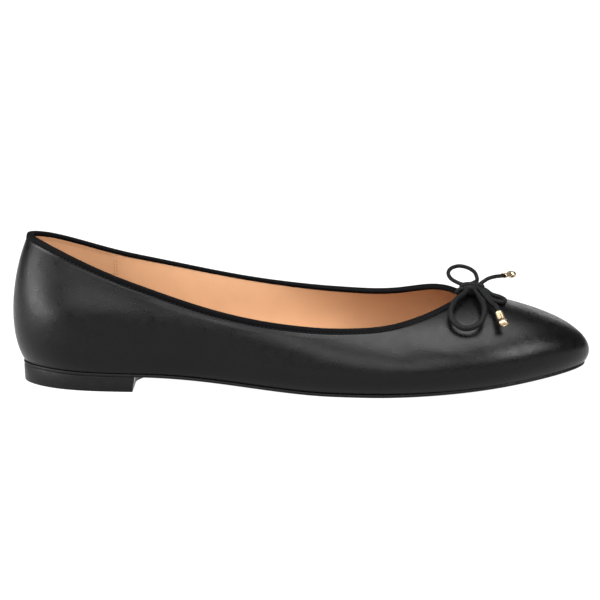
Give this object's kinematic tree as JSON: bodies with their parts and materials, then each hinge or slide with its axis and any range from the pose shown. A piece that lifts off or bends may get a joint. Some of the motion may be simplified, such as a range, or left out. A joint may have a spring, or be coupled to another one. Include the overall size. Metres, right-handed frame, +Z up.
{
  "type": "ballet flat",
  "caption": "Low ballet flat for the right foot, with a bound collar, thin sole, low heel and a small cord bow with metal tips.",
  "frame": {"origin": "middle of the shoe's footprint, on the floor that it stands on", "axes": "+X from heel to toe, +Y to the inner (medial) side of the right foot, +Z up"},
  "size_m": [0.2556, 0.0794, 0.0662],
  "materials": {
    "outsole": "thin black sole, satin at its edge",
    "heel": "low black heel block, satin",
    "insole": "natural tan leather sock, matt",
    "upper": "smooth black leather with a soft satin gloss",
    "binding": "narrow black folded binding, matt",
    "cord": "thin round black cord, matt",
    "tip": "polished pale gold metal"
  },
  "bodies": {
    "root": {"outsole": "outsole", "heel": "heel", "insole": "insole", "upper": "upper", "topline_binding": "binding", "bow_knot": "cord", "bow_loop_lateral": "cord", "bow_loop_medial": "cord", "bow_loop_toe": "cord", "bow_end_lateral": "cord", "bow_end_medial": "cord", "aglet_lateral": "tip", "aglet_medial": "tip"}
  },
  "joints": []
}
